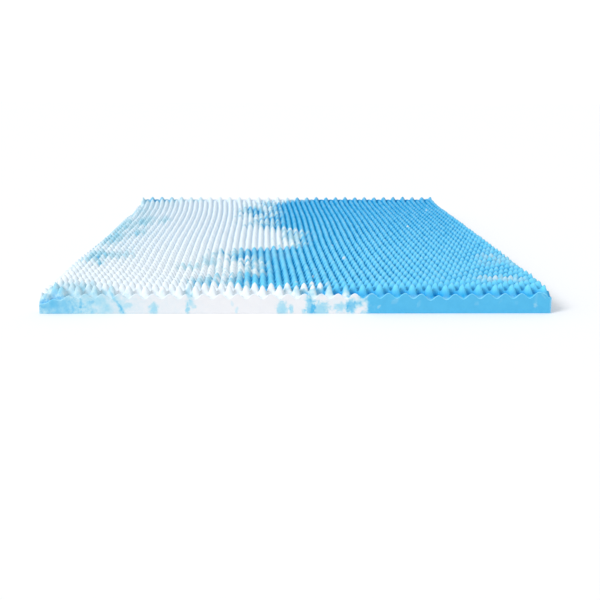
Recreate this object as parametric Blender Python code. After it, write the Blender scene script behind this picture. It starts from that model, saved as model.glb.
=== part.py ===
"""Mattress topper: one slab of convoluted ("egg crate") foam, cut to a full-size bed.

The underside is flat, the four sides are straight knife cuts, and the top is covered with
rounded, cone-like bumps. The bumps stand in columns that run front to back, and each row of
bumps is set half a pitch from the row before it, so every bump faces a gap.

Units are metres. +Z is up, +Y runs from the front edge to the back edge. The origin is the
centre of the flat underside.
"""

import math

import bmesh
import bpy
import numpy as np

# Cut size of the slab.
WIDTH = 1.372
LENGTH = 1.905

# Heights above the underside.
PEAK_HEIGHT = 0.080
HOLLOW_HEIGHT = 0.030
FACET_HOLLOW_HEIGHT = 0.038  # where four facets meet, nearer to the volume of rounded bumps
BUMP_BLUNTNESS = 0.92  # under 1 makes the bumps wider than the hollows between them

# Columns of bumps. The foam is spread a little towards its two ends.
COLUMN_PITCH = 0.0430
FRONT_SPREAD = 0.045
FRONT_SPREAD_REACH = 0.10
BACK_SPREAD = 0.055
BACK_SPREAD_REACH = 0.25
COLUMN_DRIFT = 0.0240  # metres that a column moves to the left for each metre towards the back
COLUMN_SWAY = 0.0032
SWAY_LENGTH = 1.35
SWAY_START = 0.30
CENTRE_COLUMN = 15.53  # lattice coordinate of the slab's middle line at the front cut

# Rows of bumps. They lie closer together behind the front cut.
ROW_PITCH = 0.0462
FRONT_SQUEEZE = 0.066
FRONT_SQUEEZE_REACH = 0.22
FRONT_ROW = 0.16  # lattice coordinate of the front cut: a sixth of a pitch past a row's tips

# The top sinks where the knife has freed it from its neighbours.
LEFT_SINK = 0.024
LEFT_SINK_REACH = 0.028
RIGHT_SINK = 0.024
RIGHT_SINK_REACH = 0.016
SIDE_SINK_POWER = 4
FRONT_SINK = 0.0097
FRONT_SINK_REACH = 0.012

# At the back cut the last row stands up, broad and tall, and the row before it lies low.
LAST_ROW = 0.011  # from the cut to the row's tips
LAST_ROW_LIFT = 0.006
LAST_ROW_REACH = 0.030
LAST_ROW_BREADTH = 0.40
LAST_ROW_BREADTH_REACH = 0.022

# Mesh.
SNAP = 0.0035  # a lattice point this near a cut is moved onto it
MARGIN_CELLS = 3
DEPTH_SAMPLES = 2001

NODE_NAME = "topper_foam"
FOAM_COLOUR = (0.50, 0.79, 0.95, 1.0)
FOAM_ROUGHNESS = 0.85


def clear_scene():
    """Removes every object that the file opened with."""
    for obj in list(bpy.data.objects):
        bpy.data.objects.remove(obj, do_unlink=True)


def column_pitch(depth):
    """Distance between columns at a depth behind the front cut."""
    front = FRONT_SPREAD * np.exp(-depth / FRONT_SPREAD_REACH)
    back = BACK_SPREAD * np.exp((depth - LENGTH) / BACK_SPREAD_REACH)
    return COLUMN_PITCH * (1 + front + back)


def row_at(depth):
    """Lattice coordinate along the slab at a depth behind the front cut."""
    squeezed = FRONT_SQUEEZE * (1 - np.exp(-depth / FRONT_SQUEEZE_REACH))
    return FRONT_ROW + (depth + squeezed) / ROW_PITCH


def column_shift(depth):
    """How far the columns have run to the left at a depth, with their slight sway."""
    turn = 2 * math.pi / SWAY_LENGTH
    start = math.sin(-turn * SWAY_START)
    return COLUMN_DRIFT * depth + COLUMN_SWAY * (np.sin(turn * (depth - SWAY_START)) - start)


def column_at(x, depth):
    """Lattice coordinate across the slab."""
    return CENTRE_COLUMN + (x + column_shift(depth)) / column_pitch(depth)


def plan_point(column, row):
    """Place in plan (x, y) of a lattice point."""
    beyond = MARGIN_CELLS * ROW_PITCH
    depths = np.linspace(-beyond, LENGTH + beyond, DEPTH_SAMPLES)
    depth = float(np.interp(row, row_at(depths), depths))
    x = (column - CENTRE_COLUMN) * float(column_pitch(depth)) - float(column_shift(depth))
    return x, depth - LENGTH / 2


def side_sink(x):
    """How much lower a tip stands near the two side cuts."""
    left = ((WIDTH / 2 + x) / LEFT_SINK_REACH) ** SIDE_SINK_POWER
    right = ((WIDTH / 2 - x) / RIGHT_SINK_REACH) ** SIDE_SINK_POWER
    return LEFT_SINK * math.exp(-left) + RIGHT_SINK * math.exp(-right)


def back_lift(depth):
    """How much higher a tip stands near the back cut; the lift turns to a dip row by row."""
    past = LENGTH - LAST_ROW - depth
    swing = math.cos(2 * math.pi * past / ROW_PITCH)
    return LAST_ROW_LIFT * math.exp(-max(past, 0.0) / LAST_ROW_REACH) * swing


def foam_height(x, y, share, hollow):
    """Height of the foam's top.

    x, y: place in plan, which is taken onto the slab where it lies outside.
    share: 1 on a bump's tip, 0 in the hollow between bumps.
    hollow: height of the hollows.
    """
    inside = min(max(x, -WIDTH / 2), WIDTH / 2)
    depth = min(max(y + LENGTH / 2, 0.0), LENGTH)
    tip = PEAK_HEIGHT - side_sink(inside) + back_lift(depth)
    return hollow + (tip - hollow) * share - FRONT_SINK * math.exp(-depth / FRONT_SINK_REACH)


def cut_height(x, y):
    """Height of the real, rounded foam surface, which a cut lays open as its top edge."""
    depth = y + LENGTH / 2
    wave = math.cos(2 * math.pi * column_at(x, depth)) * math.cos(2 * math.pi * row_at(depth))
    near_back = math.exp(-(((LENGTH - depth) / LAST_ROW_BREADTH_REACH) ** 2))
    bluntness = BUMP_BLUNTNESS - LAST_ROW_BREADTH * near_back
    return foam_height(x, y, (0.5 + 0.5 * wave) ** bluntness, HOLLOW_HEIGHT)


def add_bump_sheet(bm):
    """Adds the open sheet of four-sided bumps, a little larger than the slab."""
    half_columns = range(
        math.floor(2 * column_at(-WIDTH / 2, 0.0)) - MARGIN_CELLS,
        math.ceil(2 * column_at(WIDTH / 2, LENGTH)) + MARGIN_CELLS,
    )
    half_rows = range(
        math.floor(2 * row_at(0.0)) - 1,
        math.ceil(2 * row_at(LENGTH)) + 2,
    )
    grid = {}
    for j in half_rows:
        for i in half_columns:
            x, y = plan_point(i / 2, j / 2)
            share = 1 - (i + j) % 2
            grid[i, j] = bm.verts.new((x, y, foam_height(x, y, share, FACET_HOLLOW_HEIGHT)))
    for j in half_rows[:-1]:
        for i in half_columns[:-1]:
            a, b = grid[i, j], grid[i + 1, j]
            c, d = grid[i + 1, j + 1], grid[i, j + 1]
            # The crease joins the two hollows, so each bump is a pyramid of four facets.
            if (i + j) % 2 == 0:
                bm.faces.new((a, b, d))
                bm.faces.new((b, c, d))
            else:
                bm.faces.new((a, b, c))
                bm.faces.new((a, c, d))


def cut_sheet(bm):
    """Cuts the sheet to size on its four sides and gives each cut its scalloped top edge."""
    sides = (
        (0, -WIDTH / 2),
        (0, WIDTH / 2),
        (1, -LENGTH / 2),
        (1, LENGTH / 2),
    )
    for axis, place in sides:
        outward = [0.0, 0.0, 0.0]
        outward[axis] = math.copysign(1.0, place)
        point = [0.0, 0.0, 0.0]
        point[axis] = place
        for vert in bm.verts:
            if abs(vert.co[axis] - place) < SNAP:
                vert.co[axis] = place
        bmesh.ops.bisect_plane(
            bm,
            geom=bm.verts[:] + bm.edges[:] + bm.faces[:],
            dist=SNAP / 100,
            plane_co=point,
            plane_no=outward,
            clear_outer=True,
        )
    for vert in bm.verts:
        if vert.is_boundary:
            vert.co.z = cut_height(vert.co.x, vert.co.y)


def on_side(bm, axis, place):
    """The sheet's edge vertices on one cut, in order along it."""
    found = [v for v in bm.verts if v.is_boundary and abs(v.co[axis] - place) < SNAP / 10]
    return sorted(found, key=lambda v: v.co[1 - axis])


def close_slab(bm):
    """Adds the four cut faces and the flat underside."""
    left = on_side(bm, 0, -WIDTH / 2)
    right = on_side(bm, 0, WIDTH / 2)
    front = on_side(bm, 1, -LENGTH / 2)
    back = on_side(bm, 1, LENGTH / 2)
    foot = {}
    for sx in (-1, 1):
        for sy in (-1, 1):
            foot[sx, sy] = bm.verts.new((sx * WIDTH / 2, sy * LENGTH / 2, 0.0))
    bm.faces.new([*left, foot[-1, 1], foot[-1, -1]])
    bm.faces.new([*reversed(right), foot[1, -1], foot[1, 1]])
    bm.faces.new([*reversed(front), foot[-1, -1], foot[1, -1]])
    bm.faces.new([*back, foot[1, 1], foot[-1, 1]])
    bm.faces.new([foot[-1, -1], foot[-1, 1], foot[1, 1], foot[1, -1]])
    bmesh.ops.recalc_face_normals(bm, faces=bm.faces[:])


def foam_material():
    """Matt foam in the mean of its two marbled colours."""
    material = bpy.data.materials.new("marbled_foam")
    material.use_nodes = True
    shader = material.node_tree.nodes["Principled BSDF"]
    shader.inputs["Base Color"].default_value = FOAM_COLOUR
    shader.inputs["Roughness"].default_value = FOAM_ROUGHNESS
    shader.inputs["Metallic"].default_value = 0.0
    material.diffuse_color = FOAM_COLOUR
    return material


def build_topper():
    """Makes the one solid that the topper is."""
    bm = bmesh.new()
    add_bump_sheet(bm)
    cut_sheet(bm)
    close_slab(bm)
    mesh = bpy.data.meshes.new(NODE_NAME)
    bm.to_mesh(mesh)
    bm.free()
    mesh.materials.append(foam_material())
    topper = bpy.data.objects.new(NODE_NAME, mesh)
    bpy.context.scene.collection.objects.link(topper)
    return topper


clear_scene()
build_topper()
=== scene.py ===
"""A full-size foam mattress topper, marbled from white into sky blue, on a pale studio floor.

The slab is one piece of convoluted foam: a flat underside, four straight knife cuts, and a top
covered with rounded, cone-like bumps. Units are metres, +Z is up, +Y runs from the front cut to
the back cut, and "depth" is a distance behind the front cut.
"""

import logging
import math
from dataclasses import dataclass, field
from enum import Enum

import bpy
import numpy as np
from mathutils import Matrix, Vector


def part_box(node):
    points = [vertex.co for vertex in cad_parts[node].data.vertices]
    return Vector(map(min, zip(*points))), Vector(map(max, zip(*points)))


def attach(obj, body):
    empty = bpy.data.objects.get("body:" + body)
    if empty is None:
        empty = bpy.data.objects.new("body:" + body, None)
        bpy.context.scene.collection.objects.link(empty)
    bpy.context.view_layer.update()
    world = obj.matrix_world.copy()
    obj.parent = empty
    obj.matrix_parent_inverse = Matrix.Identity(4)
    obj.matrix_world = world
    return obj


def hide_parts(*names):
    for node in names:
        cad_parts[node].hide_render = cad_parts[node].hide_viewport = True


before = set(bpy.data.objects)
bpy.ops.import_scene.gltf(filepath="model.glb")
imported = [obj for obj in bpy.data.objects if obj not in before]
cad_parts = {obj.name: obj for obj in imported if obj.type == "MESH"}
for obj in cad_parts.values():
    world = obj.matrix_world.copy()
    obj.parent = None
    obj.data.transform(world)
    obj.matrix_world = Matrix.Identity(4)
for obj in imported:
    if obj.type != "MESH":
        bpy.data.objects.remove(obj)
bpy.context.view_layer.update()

LOG = logging.getLogger("topper")
FOAM_NODE = "topper_foam"
STREAK_DEPTH = 0.022

Pair = tuple[float, float]
Vec3 = tuple[float, float, float]
Colour = tuple[float, float, float, float]
Inputs = dict[int | str, object]
Tree = bpy.types.NodeTree


class Kind(Enum):
    """The shader node kinds that the finishes and the studio use."""

    BACKGROUND = "ShaderNodeBackground"
    BUMP = "ShaderNodeBump"
    CELLS = "ShaderNodeTexVoronoi"
    COMBINE = "ShaderNodeCombineXYZ"
    COORDINATES = "ShaderNodeTexCoord"
    CURVE = "ShaderNodeFloatCurve"
    GROUP = "ShaderNodeGroup"
    GROUP_IN = "NodeGroupInput"
    GROUP_OUT = "NodeGroupOutput"
    LIGHT_PATH = "ShaderNodeLightPath"
    MATH = "ShaderNodeMath"
    MIX = "ShaderNodeMix"
    MIX_SHADER = "ShaderNodeMixShader"
    NOISE = "ShaderNodeTexNoise"
    RANGE = "ShaderNodeMapRange"
    SEPARATE = "ShaderNodeSeparateXYZ"
    VECTOR = "ShaderNodeVectorMath"


class Grain(Enum):
    """How finely a noise is broken up: its detail and its roughness."""

    SOFT = (2.0, 0.5)
    UNEVEN = (3.0, 0.5)
    ROUGH = (3.0, 0.6)
    FINE = (4.0, 0.6)


class FoamFace(Enum):
    """The two ways the blade leaves the foam, as places in the slab's list of materials."""

    BUMPS = 0
    CUT = 1


def colour(code: str) -> Colour:
    """Turns a display colour into the linear one that shaders take, by the usual display curve.

    Args:
        code: six hexadecimal digits, red first.

    Returns:
        Linear red, green and blue, and an alpha of 1.
    """
    parts = [int(code[i : i + 2], 16) / 255 for i in (0, 2, 4)]
    linear = [c / 12.92 if c <= 0.04045 else ((c + 0.055) / 1.055) ** 2.4 for c in parts]
    return (linear[0], linear[1], linear[2], 1.0)


def placed(name: str, data: bpy.types.ID | None) -> bpy.types.Object:
    """Makes an object of its data and links it to the scene.

    Args:
        name: the object's name.
        data: its mesh, light or camera.

    Returns:
        The new object.
    """
    made = bpy.data.objects.new(name, data)
    bpy.context.scene.collection.objects.link(made)
    return made


# ---- Shape ----


@dataclass(frozen=True)
class Lattice:
    """Where the bumps stand in plan.

    Tips stand where column and row are both whole or both whole and a half; hollows lie where
    one of them is whole and the other whole and a half.
    """

    length: float
    pitch: float = 0.0430
    front_spread: float = 0.045
    front_reach: float = 0.10
    back_spread: float = 0.055
    back_reach: float = 0.25
    drift: float = 0.0240
    sway: float = 0.0032
    sway_length: float = 1.35
    sway_start: float = 0.30
    centre_column: float = 15.53
    row_pitch: float = 0.0462
    squeeze: float = 0.066
    squeeze_reach: float = 0.22
    front_row: float = 0.16
    samples: int = 2001

    def pitch_at(self, depth: np.ndarray) -> np.ndarray:
        """Distance between neighbouring columns of tips.

        Args:
            depth: distance behind the front cut.

        Returns:
            The pitch of the columns there.
        """
        front = self.front_spread * np.exp(-depth / self.front_reach)
        back = self.back_spread * np.exp((depth - self.length) / self.back_reach)
        return self.pitch * (1 + front + back)

    def row_at(self, depth: np.ndarray) -> np.ndarray:
        """Row number at a depth."""
        squeezed = self.squeeze * (1 - np.exp(-depth / self.squeeze_reach))
        return self.front_row + (depth + squeezed) / self.row_pitch

    def depth_at(self, row: np.ndarray) -> np.ndarray:
        """Depth of a row, read back from the rows of evenly spaced depths.

        Args:
            row: its row number.

        Returns:
            Its distance behind the front cut.
        """
        beyond = 2 * self.row_pitch
        depths = np.linspace(-beyond, self.length + beyond, self.samples)
        return np.interp(row, self.row_at(depths), depths)

    def shift_at(self, depth: np.ndarray) -> np.ndarray:
        """How far the columns have run to the left, with their slight sway.

        Args:
            depth: distance behind the front cut.

        Returns:
            The distance that they have run to the left there.
        """
        turn = 2 * np.pi / self.sway_length
        start = np.sin(-turn * self.sway_start)
        return self.drift * depth + self.sway * (np.sin(turn * (depth - self.sway_start)) - start)

    def column_at(self, x: np.ndarray, depth: np.ndarray) -> np.ndarray:
        """Column number of a place."""
        return self.centre_column + (x + self.shift_at(depth)) / self.pitch_at(depth)

    def x_at(self, column: np.ndarray, depth: np.ndarray) -> np.ndarray:
        """Distance to the right of the middle line, of a column number at a depth."""
        return (column - self.centre_column) * self.pitch_at(depth) - self.shift_at(depth)


@dataclass(frozen=True)
class Swell:
    """One place where the foam's top stands a little higher or lower than the rest.

    Attributes:
        x, depth: its middle, to the right of the middle line and behind the front cut.
        half_x, half_depth: how far it reaches.
        rise: how much higher it stands there, negative where it sags.
    """

    x: float
    depth: float
    half_x: float
    half_depth: float
    rise: float

    def at(self, x: np.ndarray, depth: np.ndarray) -> np.ndarray:
        """Its share of the height at a place."""
        across = ((x - self.x) / self.half_x) ** 2
        return self.rise * np.exp(-across - ((depth - self.depth) / self.half_depth) ** 2)


@dataclass(frozen=True)
class BumpForm:
    """Height of the bumped top above the underside.

    Attributes:
        bluntness: under 1 makes the bumps wider than the hollows; sharpness adds to it near the
            front cut, and breadth takes from it near the back and right cuts.
        fade_reach: how far before the back cut the left sink starts to fade.
        last_row: how far the last tips stand from the back cut.
        last_lift, right_lift: how much higher they stand, and how much more at the right.
        dip_share: how deep the dip before them is, as a share of their lift.
        corner_share: how high the left front corner's flattened crest stands.
        swells: places that stand a little higher or lower than the rest.
    """

    width: float
    lattice: Lattice
    peak: float = 0.080
    hollow: float = 0.030
    bluntness: float = 0.64
    front_sharpness: float = 0.30
    sharp_reach: float = 0.040
    left_sink: float = 0.024
    left_reach: float = 0.028
    right_sink: float = 0.024
    right_reach: float = 0.013
    side_power: float = 4.0
    fade_reach: float = 0.25
    front_sink: float = 0.0097
    front_reach: float = 0.012
    last_row: float = 0.011
    last_lift: float = 0.006
    right_lift: float = 0.004
    last_reach: float = 0.030
    last_breadth: float = 0.22
    dip_share: float = 2.8
    breadth_reach: float = 0.022
    right_breadth: float = 0.34
    right_breadth_reach: float = 0.036
    corner_reach: float = 0.10
    corner_depth: float = 0.010
    corner_share: float = 0.20
    swells: tuple[Swell, ...] = (
        Swell(x=0.245, depth=0.013, half_x=0.090, half_depth=0.011, rise=0.0045),
        Swell(x=0.500, depth=0.013, half_x=0.160, half_depth=0.011, rise=0.0025),
        Swell(x=0.372, depth=0.000, half_x=0.030, half_depth=0.010, rise=-0.0060),
        Swell(x=0.440, depth=0.000, half_x=0.050, half_depth=0.010, rise=-0.0015),
    )

    def side_sink(self, x: np.ndarray, depth: np.ndarray) -> np.ndarray:
        """How much lower a tip stands near the two side cuts; at the left it fades at the back.

        Args:
            x: distance to the right of the middle line.
            depth: distance behind the front cut.

        Returns:
            How much to take off the tip's height.
        """
        inside = np.clip(x, -self.width / 2, self.width / 2)
        left = ((self.width / 2 + inside) / self.left_reach) ** self.side_power
        right = ((self.width / 2 - inside) / self.right_reach) ** self.side_power
        fading = np.clip((self.lattice.length - depth) / self.fade_reach, 0, 1)
        return self.left_sink * fading * np.exp(-left) + self.right_sink * np.exp(-right)

    def last_row_lift(self, x: np.ndarray, depth: np.ndarray) -> np.ndarray:
        """How much higher a tip stands near the back cut; the lift turns to a dip row by row.

        Args:
            x: distance to the right of the middle line.
            depth: distance behind the front cut.

        Returns:
            How much to add to the tip's height.
        """
        lift = self.last_lift + self.right_lift * np.clip(2 * x / self.width, 0, 1)
        past = self.lattice.length - self.last_row - depth
        swing = np.cos(2 * np.pi * past / self.lattice.row_pitch)
        swing = np.where(swing < 0, self.dip_share * swing, swing)
        return lift * np.exp(-np.maximum(past, 0) / self.last_reach) * swing

    def share(self, x: np.ndarray, depth: np.ndarray) -> np.ndarray:
        """How far up from a hollow (0) to a tip (1) a place lies.

        Args:
            x: distance to the right of the middle line.
            depth: distance behind the front cut.

        Returns:
            The share of the full rise; the first rows' bumps are sharper than the others, and the
            last row's and those beside the right cut are broader.
        """
        near_back = np.exp(-(((self.lattice.length - depth) / self.breadth_reach) ** 2))
        near_front = np.exp(-((depth / self.sharp_reach) ** 2))
        column, row = self.lattice.column_at(x, depth), self.lattice.row_at(depth)
        wave = np.clip(np.cos(2 * np.pi * column) * np.cos(2 * np.pi * row), -1, 1)
        near_right = np.exp(-(((self.width / 2 - x) / self.right_breadth_reach) ** 2))
        power = self.bluntness + self.front_sharpness * near_front * (1 - near_right)
        power = power - self.last_breadth * near_back - self.right_breadth * near_right
        return (0.5 + 0.5 * wave) ** power

    def height(self, x: np.ndarray, depth: np.ndarray) -> np.ndarray:
        """Height of the foam's top at a place.

        Args:
            x: distance to the right of the middle line.
            depth: distance behind the front cut.

        Returns:
            Height above the underside.
        """
        tip = self.peak - self.side_sink(x, depth) + self.last_row_lift(x, depth)
        share = self.share(x, depth)
        corner = np.clip(1 - (self.width / 2 + x) / self.corner_reach, 0, 1)
        corner = corner * np.exp(-((depth / self.corner_depth) ** 2))
        share = share + (self.corner_share - share) * corner
        sink = self.front_sink * np.exp(-np.maximum(depth, 0) / self.front_reach)
        swell = sum(place.at(x, depth) for place in self.swells)
        return self.hollow + (tip - self.hollow) * share - sink + swell


@dataclass
class MeshParts:
    """Vertices and faces of the slab as they are gathered."""

    points: list[Vec3] = field(default_factory=list)
    faces: list[tuple[int, ...]] = field(default_factory=list)
    finish: list[int] = field(default_factory=list)

    def add_points(self, points: np.ndarray) -> list[int]:
        """Adds a row of points.

        Args:
            points: their places, one to a row.

        Returns:
            Their numbers in the mesh.
        """
        first = len(self.points)
        self.points.extend(map(tuple, points.tolist()))
        return list(range(first, len(self.points)))

    def add_face(self, face: tuple[int, ...], finish: FoamFace) -> None:
        """Adds one face and its finish."""
        self.faces.append(face)
        self.finish.append(finish.value)

    def zip_rows(self, upper: list[int], lower: list[int], along: int) -> None:
        """Fills the wall between two rows of points that end level with each other.

        Args:
            upper: the wall's top row, counter-clockwise seen from above.
            lower: its bottom row, in the same direction.
            along: axis that the wall runs along.
        """
        start, end = self.points[upper[0]][along], self.points[upper[-1]][along]
        up, low = (
            [(self.points[n][along] - start) / (end - start) for n in row[1:]] + [math.inf]
            for row in (upper, lower)
        )
        i = j = 0
        while i < len(upper) - 1 or j < len(lower) - 1:
            if up[i] <= low[j]:
                self.add_face((upper[i], lower[j], upper[i + 1]), FoamFace.CUT)
                i += 1
            else:
                self.add_face((upper[i], lower[j], lower[j + 1]), FoamFace.CUT)
                j += 1

    def to_object(self, name: str) -> bpy.types.Object:
        """Makes the Blender object, with its bumps shaded smooth and its cuts flat.

        Args:
            name: the object's name.

        Returns:
            The new object.
        """
        mesh = bpy.data.meshes.new(name)
        mesh.from_pydata(self.points, [], self.faces)
        mesh.polygons.foreach_set("material_index", self.finish)
        mesh.polygons.foreach_set("use_smooth", [f == FoamFace.BUMPS.value for f in self.finish])
        mesh.update()
        return placed(name, mesh)


@dataclass
class FoamSlab:
    """The topper itself: one closed body of marbled foam.

    Attributes:
        steps, front_steps: lines of the mesh within half a pitch, and in the first rows.
        clear_rows: how near to an end cut, in rows, no other line is laid.
        edge_profile: the steps out and down that round a cut edge.
    """

    low: Vec3
    high: Vec3
    steps: tuple[float, ...] = (0.0, 0.25, 0.5, 0.75)
    front_steps: tuple[float, ...] = (0.0, 0.17, 0.33, 0.5, 0.67, 0.83)
    fine_rows: float = 3.0
    clear_rows: float = 0.03
    edge_round: float = 0.0015
    edge_profile: tuple[Pair, ...] = ((0.65, 0.25), (1.0, 1.0))
    foot_cell: float = 0.05
    unevenness: float = 0.0012
    height_unevenness: float = 0.0016
    steady_edge: float = 0.020
    seed: int = 7

    def __post_init__(self) -> None:
        """Works out the lattice and the bump form from the slab's size."""
        self.width = self.high[0] - self.low[0]
        self.length = self.high[1] - self.low[1]
        self.lattice = Lattice(length=self.length)
        self.form = BumpForm(width=self.width, lattice=self.lattice)

    def column_lines(self) -> np.ndarray:
        """Lays the mesh's lines across the slab.

        Returns:
            Their column numbers, from outside the left cut to outside the right.
        """
        ends = np.array([0.0, self.length])
        first = math.floor(2 * self.lattice.column_at(-self.width / 2, ends).min()) - 1
        last = math.ceil(2 * self.lattice.column_at(self.width / 2, ends).max()) + 1
        return np.array([(i + s) / 2 for i in range(first, last) for s in self.steps])

    def row_lines(self) -> np.ndarray:
        """Lays the mesh's lines along the slab.

        Returns:
            Their row numbers, from the front cut to the back cut.
        """
        start = float(self.lattice.row_at(0.0))
        end = float(self.lattice.row_at(self.length))
        lines = [start]
        for j in range(math.floor(2 * start), math.ceil(2 * end)):
            steps = self.front_steps if j / 2 < self.fine_rows else self.steps
            inner = [(j + s) / 2 for s in steps]
            lines += [n for n in inner if start + self.clear_rows < n < end - self.clear_rows]
        return np.array([*lines, end])

    def wobble(self, columns: np.ndarray, rows: np.ndarray) -> np.ndarray:
        """Small differences between bumps, which no blade cuts quite alike.

        Args:
            columns: column numbers of the points.
            rows: row numbers of the points.

        Returns:
            Offsets along x, depth and height, one triple for each point.
        """
        rng = np.random.default_rng(self.seed)
        first_i = math.floor(2 * columns.min())
        first_j = math.floor(2 * rows.min())
        size = (math.ceil(2 * columns.max()) - first_i + 2, math.ceil(2 * rows.max()) - first_j + 2, 3)
        reach = np.array([self.unevenness, self.unevenness, self.height_unevenness])
        sites = rng.uniform(-1, 1, size) * reach
        u, v = 2 * columns - first_i, 2 * rows - first_j
        i, j = np.floor(u).astype(int), np.floor(v).astype(int)
        fu, fv = self.smooth_share(u - i)[..., None], self.smooth_share(v - j)[..., None]
        near = sites[i, j] * (1 - fu) + sites[i + 1, j] * fu
        far = sites[i, j + 1] * (1 - fu) + sites[i + 1, j + 1] * fu
        return near * (1 - fv) + far * fv

    @staticmethod
    def smooth_share(share: np.ndarray) -> np.ndarray:
        """A share from 0 to 1, eased at both ends."""
        inside = np.clip(share, 0, 1)
        return inside * inside * (3 - 2 * inside)

    def sheet_points(self) -> tuple[np.ndarray, list[tuple[int, int]]]:
        """Points of the bumped top, inside the rounded edge.

        Returns:
            An array of rows, lines and x, y, z; and each row's first and last line in use.
        """
        columns, rows = np.meshgrid(self.column_lines(), self.row_lines())
        depth = self.lattice.depth_at(rows)
        depth[0], depth[-1] = self.edge_round, self.length - self.edge_round
        x = self.lattice.x_at(columns, depth)
        side = self.width / 2 - self.edge_round
        spans = []
        for line in x:
            left = int(np.abs(line + side).argmin())
            right = int(np.abs(line - side).argmin())
            line[left], line[right] = -side, side
            spans.append((left, right))
        to_side = self.width / 2 - np.abs(x)
        to_end = np.minimum(depth, self.length - depth)
        inside = self.smooth_share(np.minimum(to_side, to_end) / self.steady_edge)[..., None]
        moved = self.wobble(columns, rows) * inside
        z = self.form.height(x, depth) + moved[..., 2]
        x, depth = x + moved[..., 0], depth + moved[..., 1]
        return np.stack([x, depth - self.length / 2, z], axis=-1), spans

    def add_sheet(self, parts: MeshParts) -> list[list[int]]:
        """Adds the bumped top.

        Args:
            parts: the mesh being gathered.

        Returns:
            The point numbers of each row, from left to right.
        """
        points, spans = self.sheet_points()
        rows = []
        for line, (left, right) in zip(points, spans):
            rows.append(dict(enumerate(parts.add_points(line[left : right + 1]), left)))
        for near, far in zip(rows, rows[1:]):
            self.join_rows(parts, near, far)
        return [list(row.values()) for row in rows]

    @staticmethod
    def join_rows(parts: MeshParts, near: dict[int, int], far: dict[int, int]) -> None:
        """Fills between two rows, with a triangle where one row has a line more at its end.

        Args:
            parts: the mesh being gathered.
            near: point numbers of the row nearer the front, by their lines.
            far: point numbers of the row behind it, by their lines.
        """
        lines = sorted(near.keys() | far.keys())
        at_near, at_far = ([row[min(max(i, min(row)), max(row))] for i in lines] for row in (near, far))
        for corners in zip(at_near, at_near[1:], at_far[1:], at_far):
            parts.add_face(tuple(dict.fromkeys(corners)), FoamFace.BUMPS)

    def add_edge(self, parts: MeshParts, rows: list[list[int]]) -> list[list[int]]:
        """Rounds the top's four edges over into the cuts.

        Args:
            parts: the mesh being gathered.
            rows: point numbers of the bumped top.

        Returns:
            The top row of each cut face, counter-clockwise from the front.
        """
        sides = self.sides_of(rows)
        loop = [n for side in sides for n in side[:-1]]
        ways = np.array([(0, -1, 0), (1, 0, 0), (0, 1, 0), (-1, 0, 0)])
        corners = ways + np.roll(ways, 1, axis=0)
        outward = np.array([
            way
            for side, corner, along in zip(sides, corners, ways)
            for way in [corner] + [along] * (len(side) - 2)
        ])
        inner = np.array([parts.points[n] for n in loop])
        rings = [loop]
        for out, down in self.edge_profile:
            ring = inner + outward * (self.edge_round * out)
            ring[:, 2] -= self.edge_round * down
            rings.append(parts.add_points(ring))
        for upper, lower in zip(rings, rings[1:]):
            for face in zip(upper, lower, lower[1:] + lower[:1], upper[1:] + upper[:1]):
                parts.add_face(face, FoamFace.BUMPS)
        lowest = dict(zip(loop, rings[-1]))
        return [[lowest[n] for n in side] for side in sides]

    def add_underside(self, parts: MeshParts) -> list[list[int]]:
        """Adds the flat underside.

        Args:
            parts: the mesh being gathered.

        Returns:
            The bottom row of each cut face, counter-clockwise from the front.
        """
        across = np.linspace(self.low[0], self.high[0], round(self.width / self.foot_cell) + 1)
        along = np.linspace(self.low[1], self.high[1], round(self.length / self.foot_cell) + 1)
        rows = [parts.add_points(np.array([(x, y, self.low[2]) for x in across])) for y in along]
        for near, far in zip(rows, rows[1:]):
            for face in zip(near, far, far[1:], near[1:]):
                parts.add_face(face, FoamFace.CUT)
        return self.sides_of(rows)

    @staticmethod
    def sides_of(rows: list[list[int]]) -> list[list[int]]:
        """The four sides of rows of points, counter-clockwise from the front."""
        right, left = [row[-1] for row in rows], [row[0] for row in reversed(rows)]
        return [rows[0], right, rows[-1][::-1], left]

    def build(self) -> bpy.types.Object:
        """Makes the slab's mesh.

        Returns:
            The closed slab, without its finishes.
        """
        parts = MeshParts()
        rows = self.add_sheet(parts)
        tops = self.add_edge(parts, rows)
        feet = self.add_underside(parts)
        for (upper, lower), along in zip(zip(tops, feet), (0, 1, 0, 1)):
            parts.zip_rows(upper, lower, along)
        slab = parts.to_object("foam_slab")
        triangles = sum(len(f) - 2 for f in parts.faces)
        LOG.info("foam_slab: %d points, %d triangles", len(parts.points), triangles)
        return slab


# ---- Finishes ----


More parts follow.
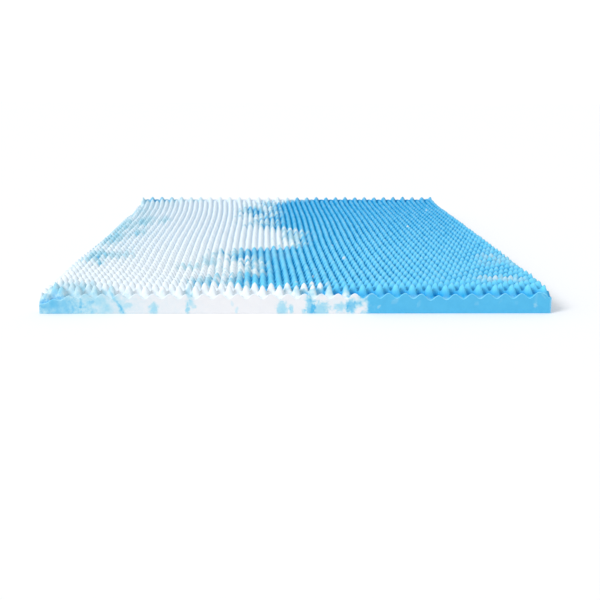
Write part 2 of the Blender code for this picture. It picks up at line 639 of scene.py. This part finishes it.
class NodeSheet:
    """A node tree with short calls for the nodes that the finishes need."""

    COLUMN_ROWS = 8
    COLUMN_WIDTH = 200
    ROW_HEIGHT = -180

    def __init__(self, tree: Tree) -> None:
        """Keeps the tree that nodes are added to."""
        self.tree = tree
        self.count = 0

    def feed(self, socket: bpy.types.NodeSocket, value: object) -> None:
        """Links a socket to its source, or sets its plain value.

        Args:
            socket: what is fed.
            value: another node's output, or a number, vector or colour.
        """
        if isinstance(value, bpy.types.NodeSocket):
            self.tree.links.new(value, socket)
        else:
            socket.default_value = value

    def feed_all(self, node: bpy.types.Node, values: Inputs) -> None:
        """Feeds the sockets of a node, by the number or name of each."""
        for name, value in values.items():
            self.feed(node.inputs[name], value)

    def add(self, kind: Kind, inputs: Inputs | None = None, **options: object) -> bpy.types.Node:
        """Adds a node, placed beside the last one.

        Args:
            kind: what it is.
            inputs: what goes into it, by the number or name of each socket.
            options: its own settings by name.

        Returns:
            The new node.
        """
        node = self.tree.nodes.new(kind.value)
        across, down = divmod(self.count, self.COLUMN_ROWS)
        node.location = (self.COLUMN_WIDTH * across, self.ROW_HEIGHT * down)
        self.count += 1
        for name, choice in options.items():
            setattr(node, name, choice)
        self.feed_all(node, inputs or {})
        return node

    def math(self, operation: str, a: object, b: object = 0.0, clamp: bool = False) -> object:
        """The result of a sum, product or other operation on two numbers."""
        return self.add(Kind.MATH, {0: a, 1: b}, operation=operation, use_clamp=clamp).outputs[0]

    def vector(self, operation: str, a: object, b: object = (0.0, 0.0, 0.0)) -> object:
        """The result of an operation on two vectors; a length comes out as a number."""
        result = "Value" if operation in ("LENGTH", "DOT_PRODUCT") else "Vector"
        return self.add(Kind.VECTOR, {0: a, 1: b}, operation=operation).outputs[result]

    def ramp(self, value: object, low: object, high: object,
             start: object = 0.0, end: object = 1.0) -> object:
        """A number eased from start, at low, to end, at high."""
        span = {"Value": value, "From Min": low, "From Max": high, "To Min": start, "To Max": end}
        return self.add(Kind.RANGE, span, interpolation_type="SMOOTHSTEP").outputs["Result"]

    def mix(self, share: object, a: object, b: object) -> object:
        """Two colours mixed by a share of the second, on the mixing node's colour sockets."""
        return self.add(Kind.MIX, {0: share, 6: a, 7: b}, data_type="RGBA").outputs[2]

    def noise(self, where: object, scale: float, grain: Grain = Grain.ROUGH, result: str = "Fac") -> object:
        """A soft noise, as a number or as a colour."""
        inputs = dict(zip(("Vector", "Scale", "Detail", "Roughness"), (where, scale, *grain.value)))
        return self.add(Kind.NOISE, inputs).outputs[result]

    def cells(self, where: object, scale: float) -> object:
        """The distance to the middle of the nearest of many scattered cells."""
        return self.add(Kind.CELLS, {"Vector": where, "Scale": scale}).outputs["Distance"]

    def swing(self, value: object, span: object) -> object:
        """A number from 0 to 1, spread over a span to both sides of 0."""
        return self.math("MULTIPLY", self.math("SUBTRACT", value, 0.5), span)

    def stirred(self, where: object, scale: float, reach: float) -> object:
        """A place, pulled about by a soft noise as the wet foam was stirred."""
        pull = self.vector("SUBTRACT", self.noise(where, scale, Grain.SOFT, "Color"), (0.5, 0.5, 0.5))
        return self.vector("ADD", where, self.vector("MULTIPLY", pull, (2 * reach,) * 3))

    def curve(self, value: object, points: list[Pair]) -> object:
        """A number read off a smooth curve.

        Args:
            value: where the curve is read.
            points: what it passes through, from 0 to 1 both ways.

        Returns:
            The curve's height there.
        """
        node = self.add(Kind.CURVE, {"Value": value})
        line = node.mapping.curves[0]
        for _ in range(len(points) - len(line.points)):
            line.points.new(0.5, 0.5)
        for knot, place in zip(line.points, sorted(points)):
            knot.location = place
            knot.handle_type = "AUTO_CLAMPED"
        node.mapping.update()
        return node.outputs["Value"]

    def place(self) -> object:
        """The point's place on the slab, in metres."""
        return self.add(Kind.COORDINATES).outputs["Object"]

    def axes(self, where: object) -> list[bpy.types.NodeSocket]:
        """A place's three numbers: across, along and up."""
        return list(self.add(Kind.SEPARATE, {0: where}).outputs)

    @staticmethod
    def label(name: str) -> str:
        """A socket's label for a name in code."""
        return name.replace("_", " ").capitalize()

    def group(self, tree: Tree, **values: object) -> bpy.types.NodeOutputs:
        """Places a shared effect, with values for its inputs by name, and gives its outputs."""
        inputs = {self.label(name): value for name, value in values.items()}
        return self.add(Kind.GROUP, inputs, node_tree=tree).outputs


class Effect(NodeSheet):
    """A shader node group that both finishes share."""

    def __init__(self, name: str, results: tuple[str, ...], **usual: float) -> None:
        """Starts the group.

        Args:
            name: the group's name.
            results: the names of the numbers that it puts out.
            usual: the numbers that go in by name, with their usual values.
        """
        super().__init__(bpy.data.node_groups.new(name, "ShaderNodeTree"))
        ways = [(key, "INPUT") for key in usual] + [(key, "OUTPUT") for key in results]
        for key, way in ways:
            kind = {"in_out": way, "socket_type": "NodeSocketFloat"}
            socket = self.tree.interface.new_socket(self.label(key), **kind)
            socket.default_value = usual.get(key, 0.0)
        self.entry = self.add(Kind.GROUP_IN).outputs

    def give(self, **results: object) -> Tree:
        """Puts out the results by name, and gives the finished group."""
        self.add(Kind.GROUP_OUT, {self.label(name): value for name, value in results.items()})
        return self.tree


@dataclass(frozen=True)
class SeamPlace:
    """Where white turns to blue, at one depth behind the front cut.

    Attributes:
        depth: the depth.
        first: where the first blue shows among the white.
        solid: where the last white ends.
    """

    depth: float
    first: float
    solid: float


@dataclass(frozen=True)
class Patch:
    """One patch of colour in the foam, as a soft ellipsoid.

    Attributes:
        x, depth, up: its middle.
        half_x, half_depth, half_up: its half sizes; it usually runs through the slab's height.
        blue: how much it adds to the blue, or takes from it where negative.
        lean: how far it runs to the right for each metre up.
    """

    x: float
    depth: float
    half_x: float
    half_depth: float
    blue: float
    up: float = 0.05
    half_up: float = 1.0
    lean: float = 0.0

    def share(self, sheet: NodeSheet, where: object, uneven: object, edge: Pair) -> object:
        """What the patch adds to the blue at a place.

        Args:
            sheet: the effect's nodes.
            where: the place, pulled about as the foam was stirred.
            uneven: an uneven number that breaks up the patch's edge.
            edge: where its edge begins and ends, as shares of its half sizes.

        Returns:
            The patch's own blue at its middle, falling to 0 outside it.
        """
        away = sheet.vector("SUBTRACT", where, (self.x, self.depth, self.up))
        if self.lean:
            slope = sheet.vector("DOT_PRODUCT", away, (0.0, 0.0, -self.lean))
            away = sheet.vector("ADD", away, sheet.add(Kind.COMBINE, {0: slope}).outputs[0])
        stretch = (1 / self.half_x, 1 / self.half_depth, 1 / self.half_up)
        away = sheet.vector("LENGTH", sheet.vector("MULTIPLY", away, stretch))
        return sheet.ramp(sheet.math("ADD", away, uneven), *edge, self.blue, 0.0)


def streak(x: float, up: float, half_x: float, half_up: float, blue: float, lean: float = 0.0) -> Patch:
    """A streak of colour that the front cut lays open, as a patch that starts right behind it."""
    return Patch(x, 0.0, half_x, STREAK_DEPTH, blue, up, half_up, lean)


@dataclass(frozen=True)
class Marbling:
    """How white and blue foam run into each other through the whole slab.

    Attributes:
        swirl, curl, jitter: how far the colours were pulled about, from wide to fine.
        mottle, cap: how patchy the seam is, and how much whiter its tips are than its hollows.
        zone, rise_share, seam_span: how far the patches reach, and how the seam turns to blue.
        ragged, edge: how uneven a patch's edge is, and where it begins and ends.
        seam: the long seam between white and blue.
        blotches, streaks: pours of colour through the slab, and those that the front cut shows.
    """

    length: float
    hollow: float
    peak: float
    swirl: float = 0.016
    swirl_scale: float = 7.0
    curl: float = 0.010
    curl_scale: float = 32.0
    jitter: float = 0.004
    jitter_scale: float = 60.0
    mottle: float = 2.6
    mottle_scale: float = 21.0
    cap: float = 0.42
    zone: float = 1.5
    rise_share: float = 0.7
    seam_span: Pair = (-0.80, 1.25)
    speck_scale: float = 8.0
    speck_size: float = 0.07
    speck_core: float = 0.5
    speck_share: float = 0.7
    fleck_scale: float = 70.0
    ragged: float = 0.8
    edge: Pair = (0.45, 1.45)
    tear_scale: float = 130.0
    tint_across: Pair = (-0.70, -0.38)
    tint_along: Pair = (0.10, 0.90)
    tint_front: float = 0.25
    tint_scale: float = 9.0
    tint_noise: Pair = (0.3, 0.7)
    tint_share: Pair = (0.14, 0.36)
    seam: tuple[SeamPlace, ...] = tuple(SeamPlace(*row) for row in (
        # depth  first   solid
        (0.0, 0.16, 0.215), (0.012, -0.02, 0.12), (0.03, -0.09, 0.06),
        (0.07, -0.34, -0.165), (0.14, -0.34, -0.15), (0.2, -0.29, -0.08),
        (0.36, -0.27, -0.085), (0.44, -0.28, -0.12), (0.48, -0.32, -0.17),
        (0.565, -0.32, -0.17), (0.64, -0.08, 0.05), (0.75, -0.075, 0.065),
        (0.96, -0.08, 0.06), (1.03, -0.11, 0.0), (1.09, -0.25, -0.06),
        (1.29, -0.275, -0.045), (1.56, -0.285, -0.035), (1.7, -0.235, -0.045),
        (1.8, -0.2, -0.01), (1.86, -0.13, 0.03), (1.905, -0.06, 0.11),
    ))
    blotches: tuple[Patch, ...] = tuple(Patch(*row) for row in (
        #    x   depth  half_x half_depth blue   up  half_up
        (-0.67, 0.0, 0.05, 0.04, 0.12, 0.03, 0.04),
        (-0.646, 0.02, 0.022, 0.022, 0.14, 0.07, 0.03),
        (-0.6, 0.0, 0.115, 0.06, 0.28, 0.05, 0.08), (-0.6, 0.06, 0.06, 0.03, 0.08, 0.07, 0.03),
        (-0.627, 0.422, 0.03, 0.05, 0.28), (-0.619, 0.5, 0.03, 0.06, 0.28),
        (-0.586, 0.339, 0.016, 0.03, 0.5), (-0.55, 0.48, 0.055, 0.06, 0.22),
        (-0.627, 0.788, 0.03, 0.11, 0.22), (-0.645, 1.09, 0.03, 0.15, 0.2),
        (-0.566, 1.203, 0.03, 0.11, 0.22), (-0.504, 1.231, 0.018, 0.08, 0.32),
        (-0.559, 0.923, 0.02, 0.06, 0.26), (-0.6, 1.89, 0.09, 0.05, 0.44, 0.06),
        (-0.43, 1.88, 0.04, 0.05, 0.25, 0.06), (-0.337, 0.307, 0.02, 0.04, 0.36),
        (-0.3, 0.28, 0.02, 0.04, 0.3), (-0.262, 0.372, 0.035, 0.06, 0.34),
        (-0.255, 0.08, 0.04, 0.04, 0.4), (-0.286, 0.008, 0.012, 0.03, 0.35, 0.06, 0.03),
        (0.57, 0.112, 0.085, 0.032, -0.64, 0.08, 0.03), (-0.155, 1.52, 0.045, 0.12, 0.5, 0.06),
        (-0.07, 0.5, 0.11, 0.09, -0.26, 0.08, 0.05), (0.01, 0.82, 0.04, 0.1, 0.34, 0.06),
        (0.06, 0.016, 0.09, 0.022, 0.38, 0.07, 0.03), (0.59, 0.345, 0.038, 0.05, -0.3),
        (0.655, 0.4, 0.036, 0.11, -0.34), (0.6, 0.455, 0.045, 0.045, -0.32),
        (0.64, 0.56, 0.03, 0.05, -0.24), (0.05, 0.04, 0.075, 0.03, -0.95, 0.085, 0.02),
    ))
    streaks: tuple[Patch, ...] = tuple(streak(*row) for row in (
        #    x      up  half_x half_up blue  lean
        (-0.635, 0.016, 0.055, 0.034, 0.28), (-0.5, 0.018, 0.09, 0.06, 0.08),
        (-0.576, 0.026, 0.004, 0.016, 0.14), (-0.548, 0.032, 0.009, 0.006, 0.16, 0.3),
        (-0.543, 0.006, 0.009, 0.009, 0.14), (-0.486, 0.041, 0.004, 0.044, 0.16, -0.6),
        (-0.471, 0.018, 0.006, 0.013, 0.22, -0.5), (-0.466, 0.006, 0.008, 0.01, 0.16, -0.4),
        (-0.45, 0.023, 0.014, 0.007, 0.16), (-0.4, 0.018, 0.15, 0.06, 0.1),
        (-0.382, 0.012, 0.012, 0.018, 0.34), (-0.292, 0.012, 0.005, 0.018, 0.38),
        (-0.281, 0.026, 0.011, 0.015, 0.24, -0.4), (-0.172, 0.026, 0.005, 0.009, 0.2),
        (-0.16, 0.009, 0.005, 0.01, 0.24), (-0.039, 0.012, 0.016, 0.024, 0.44),
        (-0.015, 0.012, 0.006, 0.014, 0.44), (0.019, 0.006, 0.007, 0.008, 0.34),
        (0.036, 0.018, 0.013, 0.026, 0.56), (0.062, 0.01, 0.024, 0.022, 0.48),
        (0.1, 0.026, 0.03, 0.02, 0.12), (0.119, 0.019, 0.02, 0.011, 0.34, 0.2),
        (0.12, 0.004, 0.024, 0.006, 0.16), (0.146, 0.02, 0.013, 0.022, 0.66),
        (0.176, 0.008, 0.014, 0.011, -0.36, 0.3), (0.222, 0.02, 0.005, 0.006, -0.28, 0.5),
        (0.264, 0.034, 0.012, 0.01, -0.25, 0.5), (0.328, 0.026, 0.007, 0.012, -0.22, 0.4),
        (0.42, 0.04, 0.02, 0.006, -0.16), (0.484, 0.027, 0.008, 0.008, -0.24),
        (0.548, 0.034, 0.006, 0.01, -0.16, 0.6), (0.592, 0.029, 0.008, 0.007, -0.18),
        (0.643, 0.037, 0.006, 0.024, -0.2, 0.05), (0.643, 0.021, 0.008, 0.008, -0.2),
        (0.663, 0.048, 0.004, 0.013, -0.26, -0.7),
    ))

    def effect(self) -> Tree:
        """Builds the shared marbling effect.

        Returns:
            A group that gives the share of blue, from white (0) through ice blue to sky blue (1).
        """
        sheet = Effect("marbling", ("blue",), fleck=0.35)
        where = sheet.vector("ADD", sheet.place(), (0.0, self.length / 2, 0.0))
        swirled = sheet.stirred(where, self.swirl_scale, self.swirl)
        swirled = sheet.stirred(swirled, self.curl_scale, self.curl)
        shaken = sheet.stirred(where, self.jitter_scale, self.jitter)
        blue = sheet.math("ADD", self.seam_share(sheet, swirled, where), self.side_tint(sheet, where))
        ragged = sheet.swing(sheet.noise(where, 2 * self.mottle_scale, Grain.SOFT), 2 * self.ragged)
        torn = sheet.swing(sheet.noise(where, self.tear_scale), 2 * self.ragged)
        for patches, moved, uneven in ((self.blotches, swirled, ragged), (self.streaks, shaken, torn)):
            for patch in patches:
                blue = sheet.math("ADD", blue, patch.share(sheet, moved, uneven, self.edge))
        specks = sheet.cells(shaken, self.speck_scale)
        core = self.speck_core * self.speck_size
        speck = sheet.ramp(specks, core, self.speck_size, self.speck_share, 0.0)
        blue = sheet.math("SUBTRACT", blue, speck)
        fleck = sheet.swing(sheet.noise(where, self.fleck_scale), sheet.entry["Fleck"])
        return sheet.give(blue=sheet.math("ADD", blue, fleck, clamp=True))

    def side_tint(self, sheet: NodeSheet, where: object) -> object:
        """The trace of blue that the white takes on towards the left cut and the back.

        Args:
            sheet: the effect's nodes.
            where: the place.

        Returns:
            The blue that it adds there.
        """
        across, along, _ = sheet.axes(where)
        aside = sheet.ramp(across, *self.tint_across, 1.0, 0.0)
        behind = sheet.ramp(along, *self.tint_along, self.tint_front, 1.0)
        patchy = sheet.ramp(sheet.noise(where, self.tint_scale), *self.tint_noise, *self.tint_share)
        return sheet.math("MULTIPLY", sheet.math("MULTIPLY", aside, behind), patchy)

    def seam_share(self, sheet: NodeSheet, swirled: object, where: object) -> object:
        """The blue that the long seam down the slab gives a place.

        Args:
            sheet: the effect's nodes.
            swirled: the stirred place, which the seam is read at.
            where: the plain place.

        Returns:
            0 in the white, 1 in the blue, and patchy between them, whiter towards the tips.
        """
        _, along, up = sheet.axes(where)
        depth = sheet.math("DIVIDE", along, self.length)
        # A curve holds numbers from 0 to 1, so the seam's middles are kept half a metre over.
        middles = [(p.depth / self.length, (p.first + p.solid) / 2 + 0.5) for p in self.seam]
        halves = [(p.depth / self.length, (p.solid - p.first) / 2) for p in self.seam]
        middle = sheet.math("SUBTRACT", sheet.curve(depth, middles), 0.5)
        past = sheet.math("SUBTRACT", sheet.axes(swirled)[0], middle)
        rise = sheet.math("DIVIDE", past, sheet.curve(depth, halves))
        zone = sheet.math("SUBTRACT", self.zone, sheet.math("ABSOLUTE", rise), clamp=True)
        patch = sheet.swing(sheet.noise(where, self.mottle_scale), 2 * self.mottle)
        cap = sheet.ramp(up, self.hollow, self.peak, self.cap, -self.cap)
        uneven = sheet.math("MULTIPLY", sheet.math("ADD", patch, cap), zone)
        total = sheet.math("ADD", sheet.math("MULTIPLY", rise, self.rise_share), uneven)
        return sheet.ramp(total, *self.seam_span)


@dataclass(frozen=True)
class FoamCells:
    """The open cells of soft foam: fine pores, a few larger ones, and a soft mottle of tone."""

    pores: float = 620.0
    pore_edge: float = 0.6
    large_pores: float = 150.0
    large_span: Pair = (0.58, 0.72)
    tone_scale: float = 45.0
    tone_span: Pair = (0.3, 0.7)

    def effect(self) -> Tree:
        """Builds the shared cell effect.

        Returns:
            A group that gives the relief of the cells and their darkness.
        """
        sheet = Effect("foam cells", ("relief", "shade"), large_pores=0.3)
        where = sheet.place()
        fine = sheet.ramp(sheet.cells(where, self.pores), 0.0, self.pore_edge)
        large = sheet.ramp(sheet.noise(where, self.large_pores), *self.large_span)
        pits = sheet.math("MULTIPLY", large, sheet.entry["Large pores"])
        tone = sheet.ramp(sheet.noise(where, self.tone_scale, Grain.FINE), *self.tone_span)
        relief = sheet.math("SUBTRACT", fine, pits)
        return sheet.give(relief=relief, shade=sheet.math("MAXIMUM", tone, pits))


@dataclass(frozen=True)
class EdgeHighlight:
    """Painted highlight: paler foam along the cut edges and at the tips, broken up in patches."""

    width: float
    length: float
    peak: float
    edge: float = 0.006
    tip: float = 0.012
    patch_scale: float = 90.0
    patch_span: Pair = (0.3, 0.65)

    def effect(self) -> Tree:
        """Builds the shared painted-highlight effect.

        Returns:
            A group that gives the share of painted highlight, near its cut edges and at its tips.
        """
        sheet = Effect("painted edge highlight", ("rub",), amount=1.0, on_cut=0.0)
        where = sheet.place()
        across, along, up = sheet.axes(where)
        from_side = sheet.math("SUBTRACT", self.width / 2, sheet.math("ABSOLUTE", across))
        from_end = sheet.math("SUBTRACT", self.length / 2, sheet.math("ABSOLUTE", along))
        nearest = sheet.math("MINIMUM", from_side, from_end)
        farther = sheet.math("SUBTRACT", sheet.math("MAXIMUM", from_side, from_end), nearest)
        farther = sheet.math("MULTIPLY", farther, sheet.entry["On cut"])
        at_edge = sheet.ramp(sheet.math("ADD", nearest, farther), 0.0, self.edge, 1.0, 0.0)
        # Painted highlight on the tips of the bumps.
        at_tip = sheet.ramp(up, self.peak - self.tip, self.peak)
        patchy = sheet.ramp(sheet.noise(where, self.patch_scale, Grain.UNEVEN), *self.patch_span)
        painted_highlight = sheet.math("MULTIPLY", sheet.math("MAXIMUM", at_edge, at_tip), patchy)
        return sheet.give(rub=sheet.math("MULTIPLY", painted_highlight, sheet.entry["Amount"]))


@dataclass(frozen=True)
class PaintedHollowShade:
    """Painted shade: the colour deepened down in the hollows between the bumps, where shade falls, and
    deepened towards the back of the slab.

    Attributes:
        shoulder, valley: how far below the tips the painted shade starts, and where it is full.
        open_shoulder, open_valley: the same in the first rows, whose hollows lie open to the light.
        on_top: how far inside the end cuts the painted shade starts and is full.
    """

    length: float
    peak: float
    back_share: float = 0.52
    shoulder: float = 0.006
    valley: float = 0.020
    open_start: float = 0.02
    open_reach: float = 0.14
    open_shoulder: float = 0.006
    open_valley: float = 0.040
    on_top: Pair = (0.0005, 0.003)

    def effect(self) -> Tree:
        """Builds the shared painted-shade effect.

        Returns:
            A group that gives the shares of painted shade for blue and for white at a place, taken in the
            hollows and towards the back, and how far back it lies.
        """
        sheet = Effect("painted hollow shade", ("deep", "pale_deep", "behind"), front_share=0.5, reach=0.5)
        _, along, up = sheet.axes(sheet.place())
        behind = sheet.math("ADD", along, self.length / 2)
        opening = (self.open_start, self.open_reach)
        start = sheet.ramp(behind, *opening, self.open_shoulder, self.shoulder)
        full = sheet.ramp(behind, *opening, self.open_valley, self.valley)
        # Painted shade: darker colour down in the hollows between the bumps.
        low = sheet.ramp(sheet.math("SUBTRACT", self.peak, up), start, full)
        # Also darker towards the back of the slab.
        back = sheet.ramp(behind, 0.0, self.length, 0.0, self.back_share)
        # Near the front cut, where light reaches into the hollows, the white takes less of the painted
        # shade.
        lit = sheet.ramp(behind, 0.0, sheet.entry["Reach"], sheet.entry["Front share"], 1.0)
        from_end = sheet.math("SUBTRACT", self.length / 2, sheet.math("ABSOLUTE", along))
        on_top = sheet.ramp(from_end, *self.on_top)
        deep, pale = (
            sheet.math("MULTIPLY", sheet.math("ADD", share, back, clamp=True), on_top)
            for share in (low, sheet.math("MULTIPLY", low, lit))
        )
        return sheet.give(deep=deep, pale_deep=pale, behind=sheet.ramp(behind, 0.0, self.open_reach))


@dataclass(frozen=True)
class FoamFinish:
    """Soft matt foam, marbled from white into sky blue.

    Attributes:
        white_front, white_reach: how much of the painted hollow shade the white takes at the front cut, and
            how far back it takes all of it.
        ice_span, blue_span: over which shares of blue the ice blue and the full blue come in.
    """

    name: str
    white: Colour = colour("EFF7FD")
    # Painted shade: this second white, and the second and third blues below, are the colours painted down
    # in the hollows and towards the back; the third blue is for the open hollows of the first rows.
    white_painted_shade: Colour = colour("D6E9F8")
    blue: Colour = colour("72D6FA")
    blue_painted_shade: Colour = colour("0094D5")
    blue_open_painted_shade: Colour = colour("009CE0")
    ice: Colour = colour("AAD9EA")
    # Painted highlight: the pale colour laid along the cut edges and on the tips; rub below is how much of
    # it they take.
    painted_highlight: Colour = colour("DDF3FC")
    fleck: float = 0.45
    rub: float = 0.2
    on_cut: float = 0.0
    shade: float = 0.15
    large_pores: float = 0.3
    relief: float = 0.0006
    relief_strength: float = 0.6
    roughness: float = 0.85
    unevenness: float = 0.06
    specular: float = 0.03
    sheen: float = 0.02
    sheen_roughness: float = 0.6
    white_front: float = 0.0
    white_reach: float = 1.10
    ice_span: Pair = (0.0, 0.5)
    blue_span: Pair = (0.35, 0.9)

    def material(self, marbling: Tree, cells: Tree, rub: Tree, depth: Tree) -> bpy.types.Material:
        """Builds the material.

        Args:
            marbling: the shared marbling effect.
            cells: the shared cell effect.
            rub: the shared painted-highlight effect, for the cut edges and the tips.
            depth: the shared painted-shade effect, darker down in the hollows and towards the back.

        Returns:
            The finished material.
        """
        made = bpy.data.materials.new(self.name)
        made.use_nodes = True
        sheet = NodeSheet(made.node_tree)
        pour = sheet.group(marbling, fleck=self.fleck)["Blue"]
        foam = sheet.group(cells, large_pores=self.large_pores)
        # Painted highlight along the cut edges and at the tips.
        painted_highlight_share = sheet.group(rub, amount=self.rub, on_cut=self.on_cut)["Rub"]
        # Painted shade: how much of the hollow colour the blue and the white take, in the hollows and
        # towards the back.
        down = sheet.group(depth, front_share=self.white_front, reach=self.white_reach)
        shade = sheet.math("MULTIPLY", foam["Shade"], self.shade)
        # The white's painted shade, mixed with its random mottle.
        white_shade_and_mottle = sheet.math("MAXIMUM", down["Pale deep"], shade)
        white = sheet.mix(white_shade_and_mottle, self.white, self.white_painted_shade)
        # The blue's painted shade: lighter in the open hollows of the first rows, darker further back.
        below = sheet.mix(down["Behind"], self.blue_open_painted_shade, self.blue_painted_shade)
        blue = sheet.mix(sheet.math("MAXIMUM", down["Deep"], shade), self.blue, below)
        pale = sheet.mix(sheet.ramp(pour, *self.ice_span), white, self.ice)
        base = sheet.mix(sheet.ramp(pour, *self.blue_span), pale, blue)
        rough = (self.roughness - self.unevenness, self.roughness + self.unevenness)
        relief = {"Strength": self.relief_strength, "Distance": self.relief, "Height": foam["Relief"]}
        looks = {
            "Base Color": sheet.mix(painted_highlight_share, base, self.painted_highlight),
            "Roughness": sheet.ramp(foam["Shade"], 0.0, 1.0, *rough),
            "Normal": sheet.add(Kind.BUMP, relief).outputs["Normal"],
            "Specular IOR Level": self.specular,
            "Sheen Weight": self.sheen,
            "Sheen Roughness": self.sheen_roughness,
        }
        sheet.feed_all(made.node_tree.nodes["Principled BSDF"], looks)
        return made


# ---- Studio ----


@dataclass
class Studio:
    """The pale floor, the soft lights and the camera."""

    front: float
    floor_size: float = 60.0
    floor_gap: float = 0.0004
    floor_colour: Colour = colour("F7F8FA")
    world_colour: Colour = (1.0, 1.0, 1.0, 1.0)
    seen_strength: float = 1.1
    world_strength: float = 0.73
    floor_roughness: float = 0.9
    floor_specular: float = 0.1
    floor_glow: float = 0.04
    key_height: float = 35.0
    key_side: float = -55.0
    key_spread: float = 20.0
    key_power: float = 1.72
    lens: float = 54.0
    sensor: float = 36.0
    view_end: float = 200.0
    camera_x: float = -0.047
    camera_back: float = 2.341
    camera_up: float = 0.595
    camera_tilt: float = 13.4
    camera_yaw: float = 1.36
    camera_roll: float = 0.27

    def add_floor(self) -> None:
        """Lays a wide, plain, pale floor."""
        half = self.floor_size / 2
        corners = [(-half, -half), (half, -half), (half, half), (-half, half)]
        mesh = bpy.data.meshes.new("studio_floor")
        mesh.from_pydata([(x, y, -self.floor_gap) for x, y in corners], [], [(0, 1, 2, 3)])
        paint = bpy.data.materials.new("studio_white")
        paint.use_nodes = True
        looks = {
            "Base Color": self.floor_colour,
            "Roughness": self.floor_roughness,
            "Specular IOR Level": self.floor_specular,
            "Emission Color": self.floor_colour,
            "Emission Strength": self.floor_glow,
        }
        NodeSheet(paint.node_tree).feed_all(paint.node_tree.nodes["Principled BSDF"], looks)
        mesh.materials.append(paint)
        floor = placed("studio_floor", mesh)
        LOG.info("studio_floor: %.0f m square", self.floor_size)

    def add_world(self) -> None:
        """Surrounds the scene with soft white light and a pure white distance."""
        world = bpy.data.worlds.new("studio_air")
        world.use_nodes = True
        sheet = NodeSheet(world.node_tree)
        glow = world.node_tree.nodes["Background"]
        seen = sheet.add(Kind.BACKGROUND)
        for sky, strength in ((glow, self.world_strength), (seen, self.seen_strength)):
            sheet.feed_all(sky, {"Color": self.world_colour, "Strength": strength})
        by_camera = sheet.add(Kind.LIGHT_PATH).outputs["Is Camera Ray"]
        skies = {0: by_camera, 1: glow.outputs["Background"], 2: seen.outputs["Background"]}
        either = sheet.add(Kind.MIX_SHADER, skies).outputs["Shader"]
        sheet.feed(world.node_tree.nodes["World Output"].inputs["Surface"], either)
        bpy.context.scene.world = world

    def add_key(self) -> None:
        """Shines the large soft light from the left."""
        light = bpy.data.lights.new("key", "SUN")
        light.angle = math.radians(self.key_spread)
        light.energy = self.key_power
        key = placed("key", light)
        key.rotation_euler = (math.radians(90 - self.key_height), 0.0, math.radians(self.key_side))

    def add_camera(self) -> None:
        """Sets the camera a little above the slab, before its front cut, looking along it."""
        data = bpy.data.cameras.new("camera")
        data.lens = self.lens
        data.sensor_width = self.sensor
        data.clip_end = self.view_end
        camera = placed("camera", data)
        turn = Matrix.Rotation(math.radians(-self.camera_yaw), 4, "Z")
        tilt = Matrix.Rotation(math.radians(90 - self.camera_tilt), 4, "X")
        roll = Matrix.Rotation(math.radians(self.camera_roll), 4, "Z")
        place = Matrix.Translation((self.camera_x, self.front - self.camera_back, self.camera_up))
        camera.matrix_world = place @ turn @ tilt @ roll
        bpy.context.scene.camera = camera

    def build(self) -> None:
        """Sets up everything round the topper."""
        self.add_floor()
        self.add_world()
        self.add_key()
        self.add_camera()
        bpy.context.scene.view_settings.view_transform = "Standard"


@dataclass
class Topper:
    """The dressed topper: its slab and the two finishes that the blade leaves."""

    low: Vec3
    high: Vec3

    def build(self) -> bpy.types.Object:
        """Builds and dresses the slab.

        Returns:
            The finished piece.
        """
        slab = FoamSlab(low=self.low, high=self.high)
        piece = slab.build()
        hollow, peak = slab.form.hollow, slab.form.peak
        marbling = Marbling(length=slab.length, hollow=hollow, peak=peak).effect()
        # Painted shade down in the hollows and towards the back.
        depth = PaintedHollowShade(length=slab.length, peak=peak).effect()
        cells = FoamCells().effect()
        # Painted highlight along the cut edges and at the tips.
        rub = EdgeHighlight(width=slab.width, length=slab.length, peak=peak).effect()
        bumps = FoamFinish(name="marbled_foam")
        cut = FoamFinish(
            name="marbled_foam_cut",
            white=colour("E9EAED"),
            # The cut's second white and second and third blues are painted shade too; they darken the side
            # cuts.
            white_painted_shade=colour("E2E6EC"),
            blue=colour("5ABAE5"),
            blue_painted_shade=colour("4CACDC"),
            blue_open_painted_shade=colour("4CACDC"),
            fleck=0.16,
            # A stronger painted highlight along the cut's edges.
            rub=0.3,
            on_cut=1.0,
            shade=0.3,
            large_pores=0.4,
            relief=0.0008,
        )
        for finish in (bumps, cut):
            piece.data.materials.append(finish.material(marbling, cells, rub, depth))
        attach(piece, "root")
        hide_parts(FOAM_NODE)
        return piece


def main() -> None:
    """Builds the topper and its studio."""
    logging.basicConfig(level=logging.INFO, format="%(message)s")
    low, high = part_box(FOAM_NODE)
    Topper(low=tuple(low), high=tuple(high)).build()
    Studio(front=float(low[1])).build()


if __name__ == "__main__":
    main()
